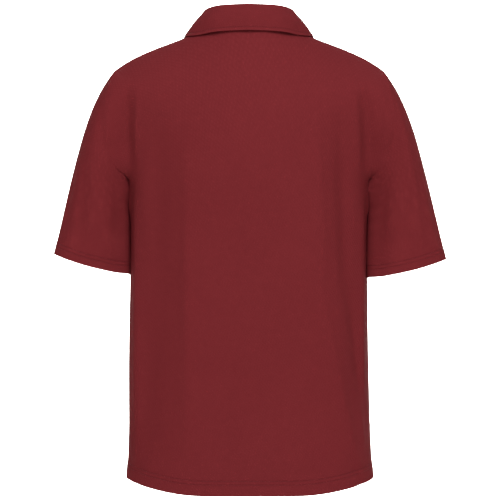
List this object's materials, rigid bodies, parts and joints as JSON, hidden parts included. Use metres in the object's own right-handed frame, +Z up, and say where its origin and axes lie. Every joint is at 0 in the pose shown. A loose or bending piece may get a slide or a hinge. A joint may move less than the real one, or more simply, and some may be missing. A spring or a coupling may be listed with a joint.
{
  "type": "polo shirt",
  "caption": "Short-sleeved polo shirt in dark red pique knit, hanging as worn: turned-down collar, front placket with buttons, dropped shoulders and side vents.",
  "frame": {"origin": "middle of the neck, level with the tops of the shoulder seams, where the shirt hangs on its wearer's shoulders", "axes": "+Z up the shirt's length towards the collar, -Y towards its front and the buttons, +X towards its wearer's left"},
  "size_m": [0.6135, 0.2721, 0.7449],
  "materials": {
    "pique_knit": "matt pique cotton knit, dark red",
    "buttons": "dark red buttons with a soft sheen"
  },
  "bodies": {
    "root": {"back": "pique_knit", "front": "pique_knit", "sleeve_left": "pique_knit", "sleeve_right": "pique_knit", "collar": "pique_knit", "placket_under": "pique_knit", "placket_upper": "pique_knit", "button_1": "buttons", "button_2": "buttons", "button_3": "buttons"}
  },
  "joints": []
}
